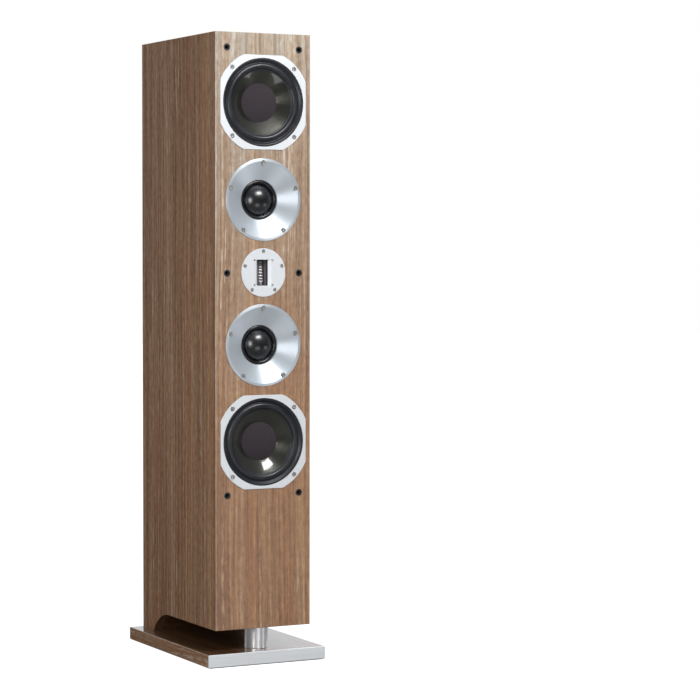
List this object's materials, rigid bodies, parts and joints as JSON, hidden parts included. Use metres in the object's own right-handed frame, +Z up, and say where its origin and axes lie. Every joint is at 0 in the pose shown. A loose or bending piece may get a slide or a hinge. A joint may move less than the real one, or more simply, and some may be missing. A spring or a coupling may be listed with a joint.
{
  "type": "floorstanding speaker",
  "caption": "Tall veneered loudspeaker on a plinth, with a symmetric array of bass units, dome midranges and a ribbon tweeter.",
  "frame": {"origin": "centre of the footprint of the plinth, at floor level", "axes": "+Z up, the baffle with the drivers faces -Y, +X to the right seen from the front"},
  "size_m": [0.263, 0.421, 1.286],
  "materials": {
    "walnut_veneer": "satin lacquer over straight-grained veneer",
    "raw_board": "raw fibreboard",
    "wool": "loose wool felt",
    "black_rubber": "matte",
    "black_plastic": "fine texture",
    "satin_trim": "fine satin brushed",
    "polished_column": "turned and polished",
    "zinc_steel": "zinc plated",
    "screw_steel": "plain",
    "ferrite": "ground",
    "spun_aluminium": "turned, satin anodised",
    "flange_aluminium": "satin silver",
    "gold_brass": "gold plated",
    "circuit_board": "solder resist",
    "copper_winding": "enamelled copper wire",
    "capacitor_film": "wrapped film",
    "lead_sleeve": "insulated lead",
    "ribbon_foil": "pleated bright foil",
    "woven_cone": "woven fibre under a clear coat",
    "dust_cap_felt": "close felt",
    "coil_former": "copper winding on an aluminium former",
    "moulded_rubber": "satin butyl",
    "spider_cloth": "resin-dipped cloth",
    "dome_fabric": "glossy coated cloth"
  },
  "bodies": {
    "root": {"front_baffle": "walnut_veneer", "left_side_panel": "walnut_veneer", "right_side_panel": "walnut_veneer", "top_panel": "walnut_veneer", "bottom_panel": "walnut_veneer", "back_panel": "walnut_veneer", "rear_leg": "walnut_veneer", "shelf_braces": "raw_board", "acoustic_lining": "wool", "grille_sockets": "black_rubber", "port_tube": "black_plastic", "plinth_board": "walnut_veneer", "plinth_trim": "satin_trim", "front_column": "polished_column", "base_bolts": "zinc_steel", "spike_inserts": "zinc_steel", "floor_pads": "black_rubber", "bass_motor_steel": "zinc_steel", "bass_magnets": "ferrite", "mid_motor_steel": "zinc_steel", "mid_magnets": "ferrite", "mid_rear_cups": "black_plastic", "tweeter_faceplate": "flange_aluminium", "tweeter_magnets": "ferrite", "tweeter_housing": "black_plastic", "driver_gaskets": "black_rubber", "fixing_screws": "screw_steel", "terminal_cup": "black_plastic", "terminal_posts": "gold_brass", "crossover_board": "circuit_board", "crossover_coils": "copper_winding", "crossover_capacitors": "capacitor_film", "wiring_loom": "lead_sleeve", "upper_bass_frame": "flange_aluminium", "lower_bass_frame": "flange_aluminium", "upper_mid_faceplate": "spun_aluminium", "lower_mid_faceplate": "spun_aluminium", "upper_bass_surround": "moulded_rubber", "lower_bass_surround": "moulded_rubber", "upper_bass_spider": "spider_cloth", "lower_bass_spider": "spider_cloth", "upper_mid_surround": "moulded_rubber", "lower_mid_surround": "moulded_rubber"},
    "upper_bass_diaphragm": {"upper_bass_cone": "woven_cone", "upper_bass_dust_cap": "dust_cap_felt", "upper_bass_coil": "coil_former"},
    "upper_mid_diaphragm": {"upper_mid_dome": "dome_fabric", "upper_mid_coil": "coil_former"},
    "lower_bass_diaphragm": {"lower_bass_cone": "woven_cone", "lower_bass_dust_cap": "dust_cap_felt", "lower_bass_coil": "coil_former"},
    "lower_mid_diaphragm": {"lower_mid_dome": "dome_fabric", "lower_mid_coil": "coil_former"},
    "ribbon": {"tweeter_ribbon": "ribbon_foil"},
    "left_clamp": {"left_terminal_washer": "gold_brass"},
    "left_knob": {"left_terminal_nut": "gold_brass", "left_terminal_cap": "black_plastic"},
    "right_clamp": {"right_terminal_washer": "gold_brass"},
    "right_knob": {"right_terminal_nut": "gold_brass", "right_terminal_cap": "black_plastic"}
  },
  "joints": [
    {"name": "upper_bass_excursion", "type": "slide", "parent": "root", "child": "upper_bass_diaphragm", "axis": [0, -1, 0], "range_m": [-0.006, 0.006], "stiffness_N_per_m": 900, "deforming": ["upper_bass_surround", "upper_bass_spider"]},
    {"name": "upper_mid_excursion", "type": "slide", "parent": "root", "child": "upper_mid_diaphragm", "axis": [0, -1, 0], "range_m": [-0.0008, 0.0008], "stiffness_N_per_m": 900, "deforming": ["upper_mid_surround"]},
    {"name": "lower_bass_excursion", "type": "slide", "parent": "root", "child": "lower_bass_diaphragm", "axis": [0, -1, 0], "range_m": [-0.006, 0.006], "stiffness_N_per_m": 900, "deforming": ["lower_bass_surround", "lower_bass_spider"]},
    {"name": "lower_mid_excursion", "type": "slide", "parent": "root", "child": "lower_mid_diaphragm", "axis": [0, -1, 0], "range_m": [-0.0008, 0.0008], "stiffness_N_per_m": 900, "deforming": ["lower_mid_surround"]},
    {"name": "ribbon_excursion", "type": "slide", "parent": "root", "child": "ribbon", "axis": [0, -1, 0], "range_m": [-0.0003, 0.0003], "stiffness_N_per_m": 150},
    {"name": "left_clamp_slide", "type": "slide", "parent": "root", "child": "left_clamp", "axis": [0, 1, 0], "range_m": [0, 0.005]},
    {"name": "left_knob_turn", "type": "hinge", "parent": "left_clamp", "child": "left_knob", "pos_m": [-0.021, 0.18, 0.24], "axis": [0, 1, 0], "range_deg": [0, 1800]},
    {"name": "right_clamp_slide", "type": "slide", "parent": "root", "child": "right_clamp", "axis": [0, 1, 0], "range_m": [0, 0.005]},
    {"name": "right_knob_turn", "type": "hinge", "parent": "right_clamp", "child": "right_knob", "pos_m": [0.021, 0.18, 0.24], "axis": [0, 1, 0], "range_deg": [0, 1800]}
  ],
  "couplings": [
    {"joint": "left_knob_turn", "follows": "left_clamp_slide", "rad_per_m": 6283.2},
    {"joint": "right_knob_turn", "follows": "right_clamp_slide", "rad_per_m": 6283.2}
  ]
}
